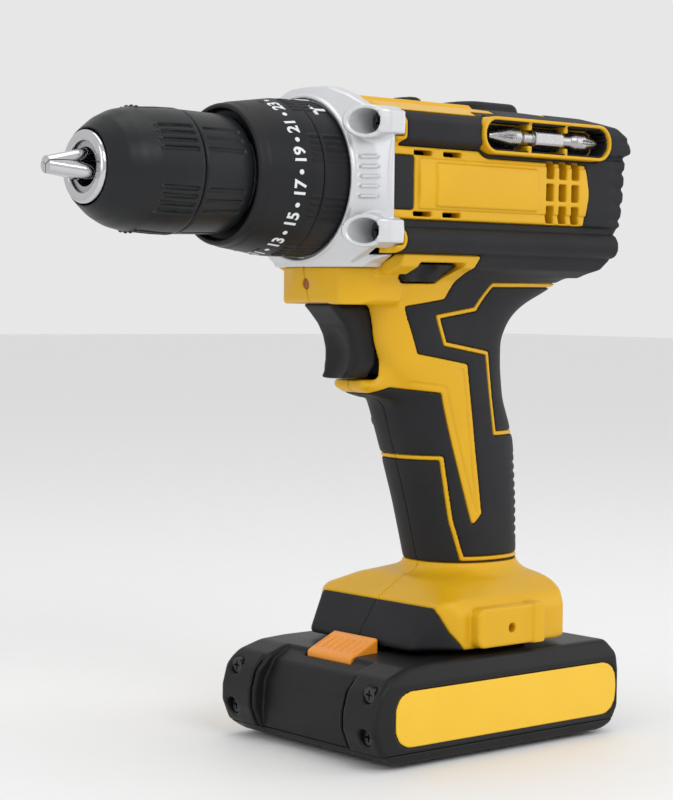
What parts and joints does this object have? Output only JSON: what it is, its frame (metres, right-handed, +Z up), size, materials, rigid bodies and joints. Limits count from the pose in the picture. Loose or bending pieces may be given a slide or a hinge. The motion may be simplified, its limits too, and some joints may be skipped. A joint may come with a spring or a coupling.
{
  "type": "cordless drill",
  "caption": "Pistol-grip cordless hammer drill and driver with a keyless chuck, torque and mode rings, trigger, and a slide-on battery pack as its foot.",
  "frame": {"origin": "centre of the battery pack's flat underside, under the middle of the pack's sides", "axes": "+X along the spindle towards the chuck, +Y to the drill's left, +Z up"},
  "size_m": [0.2023, 0.075, 0.2036],
  "materials": {
    "yellow_plastic": "satin moulded plastic",
    "grip_rubber": "soft matte elastomer",
    "black_plastic": "fine textured moulding",
    "chuck_black": "smooth dark moulding",
    "silver_paint": "satin silver paint on a die casting",
    "steel": "machined",
    "bright_steel": "bright plated",
    "copper": "lacquered copper winding on laminated iron",
    "cell_wrap": "shrink-wrapped cell",
    "board": "solder-masked board with plated clips",
    "wire": "insulated lead",
    "lens": "clear lens",
    "orange_plastic": "moulded latch"
  },
  "bodies": {
    "body": {"housing_left": "yellow_plastic", "housing_right": "yellow_plastic", "grip_rubber_left": "grip_rubber", "grip_rubber_right": "grip_rubber", "nose_casting": "silver_paint", "nose_screws": "steel", "housing_screws": "steel", "work_light": "lens", "switch_module": "black_plastic", "terminal_block": "black_plastic", "wiring": "wire", "motor_can": "silver_paint", "motor_magnets": "steel", "motor_end_cap": "black_plastic", "motor_brushes": "steel", "gearbox_case": "black_plastic", "ring_gear": "steel", "clutch_ring_gear": "steel", "clutch_pins": "steel", "clutch_spring": "steel", "spindle_bearings": "steel", "trigger_spring": "steel"},
    "torque_ring": {"torque_ring": "black_plastic"},
    "mode_ring": {"mode_ring": "black_plastic"},
    "speed_selector": {"speed_selector": "black_plastic", "shift_fork": "steel"},
    "trigger": {"trigger": "black_plastic"},
    "direction_button": {"direction_button": "black_plastic"},
    "driver_bit": {"driver_bit": "bright_steel"},
    "spindle": {"spindle": "steel", "chuck_body": "steel", "chuck_screw": "steel", "chuck_rear_sleeve": "chuck_black", "chuck_nose_ring": "bright_steel"},
    "chuck_sleeve": {"chuck_front_sleeve": "chuck_black", "chuck_nut": "steel"},
    "jaw_1": {"jaw_1": "steel"},
    "jaw_2": {"jaw_2": "steel"},
    "jaw_3": {"jaw_3": "steel"},
    "gear_train": {"first_carrier": "steel", "second_carrier": "steel", "second_planets": "steel"},
    "shift_ring": {"shift_ring_gear": "steel"},
    "rotor": {"motor_shaft": "steel", "armature": "copper", "cooling_fan": "black_plastic"},
    "battery": {"battery_case_lower": "black_plastic", "battery_case_upper": "black_plastic", "battery_cells": "cell_wrap", "battery_board": "board", "battery_labels": "yellow_plastic", "battery_screws": "steel", "latch_spring": "steel"},
    "battery_latch": {"battery_latch": "orange_plastic"},
    "first_planet_1": {"first_planet_1": "steel"},
    "first_planet_2": {"first_planet_2": "steel"},
    "first_planet_3": {"first_planet_3": "steel"},
    "third_planet_1": {"third_planet_1": "steel"},
    "third_planet_2": {"third_planet_2": "steel"},
    "third_planet_3": {"third_planet_3": "steel"}
  },
  "joints": [
    {"name": "spindle_spin", "type": "hinge", "parent": "body", "child": "spindle", "pos_m": [0.1, 0, 0.1755], "axis": [1, 0, 0], "continuous": true},
    {"name": "sleeve_turn", "type": "hinge", "parent": "spindle", "child": "chuck_sleeve", "pos_m": [0.11, 0, 0.1755], "axis": [1, 0, 0], "range_deg": [0, 3600]},
    {"name": "jaw_1_slide", "type": "slide", "parent": "spindle", "child": "jaw_1", "axis": [-0.9763, 0, 0.2164], "range_m": [0, 0.0225]},
    {"name": "jaw_2_slide", "type": "slide", "parent": "spindle", "child": "jaw_2", "axis": [-0.9763, -0.1874, -0.1082], "range_m": [0, 0.0225]},
    {"name": "jaw_3_slide", "type": "slide", "parent": "spindle", "child": "jaw_3", "axis": [-0.9763, 0.1874, -0.1082], "range_m": [0, 0.0225]},
    {"name": "torque_ring_turn", "type": "hinge", "parent": "body", "child": "torque_ring", "pos_m": [0.075, 0, 0.1755], "axis": [1, 0, 0], "range_deg": [-160, 160]},
    {"name": "mode_ring_turn", "type": "hinge", "parent": "body", "child": "mode_ring", "pos_m": [0.06, 0, 0.1755], "axis": [1, 0, 0], "range_deg": [-30, 30]},
    {"name": "speed_selector_slide", "type": "slide", "parent": "body", "child": "speed_selector", "axis": [1, 0, 0], "range_m": [0, 0.003]},
    {"name": "trigger_pull", "type": "slide", "parent": "body", "child": "trigger", "axis": [-1, 0, 0], "range_m": [0, 0.0065], "stiffness_N_per_m": 900, "springref_m": -0.003, "deforming": ["trigger_spring"]},
    {"name": "direction_button_slide", "type": "slide", "parent": "body", "child": "direction_button", "axis": [0, 1, 0], "range_m": [-0.004, 0.004]},
    {"name": "driver_bit_pull", "type": "slide", "parent": "body", "child": "driver_bit", "axis": [0, 1, 0], "range_m": [0, 0.03]},
    {"name": "battery_slide", "type": "slide", "parent": "body", "child": "battery", "axis": [1, 0, 0], "range_m": [0, 0.08]},
    {"name": "latch_press", "type": "slide", "parent": "battery", "child": "battery_latch", "axis": [0, 0, -1], "range_m": [0, 0.0025], "stiffness_N_per_m": 600, "springref_m": -0.003, "deforming": ["latch_spring"]},
    {"name": "gear_train_spin", "type": "hinge", "parent": "body", "child": "gear_train", "pos_m": [0.03, 0, 0.1755], "axis": [1, 0, 0], "continuous": true},
    {"name": "shift_ring_slide", "type": "slide", "parent": "gear_train", "child": "shift_ring", "axis": [1, 0, 0], "range_m": [0, 0.003]},
    {"name": "rotor_spin", "type": "hinge", "parent": "body", "child": "rotor", "pos_m": [-0.01, 0, 0.1755], "axis": [1, 0, 0], "continuous": true},
    {"name": "first_planet_1_spin", "type": "hinge", "parent": "gear_train", "child": "first_planet_1", "pos_m": [0.02, 0, 0.16395], "axis": [1, 0, 0], "continuous": true},
    {"name": "third_planet_1_spin", "type": "hinge", "parent": "spindle", "child": "third_planet_1", "pos_m": [0.0404, 0, 0.16395], "axis": [1, 0, 0], "continuous": true},
    {"name": "first_planet_2_spin", "type": "hinge", "parent": "gear_train", "child": "first_planet_2", "pos_m": [0.02, 0.01, 0.18127], "axis": [1, 0, 0], "continuous": true},
    {"name": "third_planet_2_spin", "type": "hinge", "parent": "spindle", "child": "third_planet_2", "pos_m": [0.0404, 0.01, 0.18127], "axis": [1, 0, 0], "continuous": true},
    {"name": "first_planet_3_spin", "type": "hinge", "parent": "gear_train", "child": "first_planet_3", "pos_m": [0.02, -0.01, 0.18127], "axis": [1, 0, 0], "continuous": true},
    {"name": "third_planet_3_spin", "type": "hinge", "parent": "spindle", "child": "third_planet_3", "pos_m": [0.0404, -0.01, 0.18127], "axis": [1, 0, 0], "continuous": true}
  ],
  "couplings": [
    {"joint": "gear_train_spin", "follows": "spindle_spin", "ratio": 3.6667},
    {"joint": "rotor_spin", "follows": "spindle_spin", "ratio": 13.444},
    {"joint": "third_planet_1_spin", "follows": "spindle_spin", "ratio": -3.2},
    {"joint": "first_planet_1_spin", "follows": "spindle_spin", "ratio": -11.733},
    {"joint": "jaw_1_slide", "follows": "sleeve_turn", "m_per_rad": 0.0003581},
    {"joint": "third_planet_2_spin", "follows": "spindle_spin", "ratio": -3.2},
    {"joint": "first_planet_2_spin", "follows": "spindle_spin", "ratio": -11.733},
    {"joint": "jaw_2_slide", "follows": "sleeve_turn", "m_per_rad": 0.0003581},
    {"joint": "third_planet_3_spin", "follows": "spindle_spin", "ratio": -3.2},
    {"joint": "first_planet_3_spin", "follows": "spindle_spin", "ratio": -11.733},
    {"joint": "jaw_3_slide", "follows": "sleeve_turn", "m_per_rad": 0.0003581},
    {"joint": "shift_ring_slide", "follows": "speed_selector_slide", "ratio": 1}
  ]
}
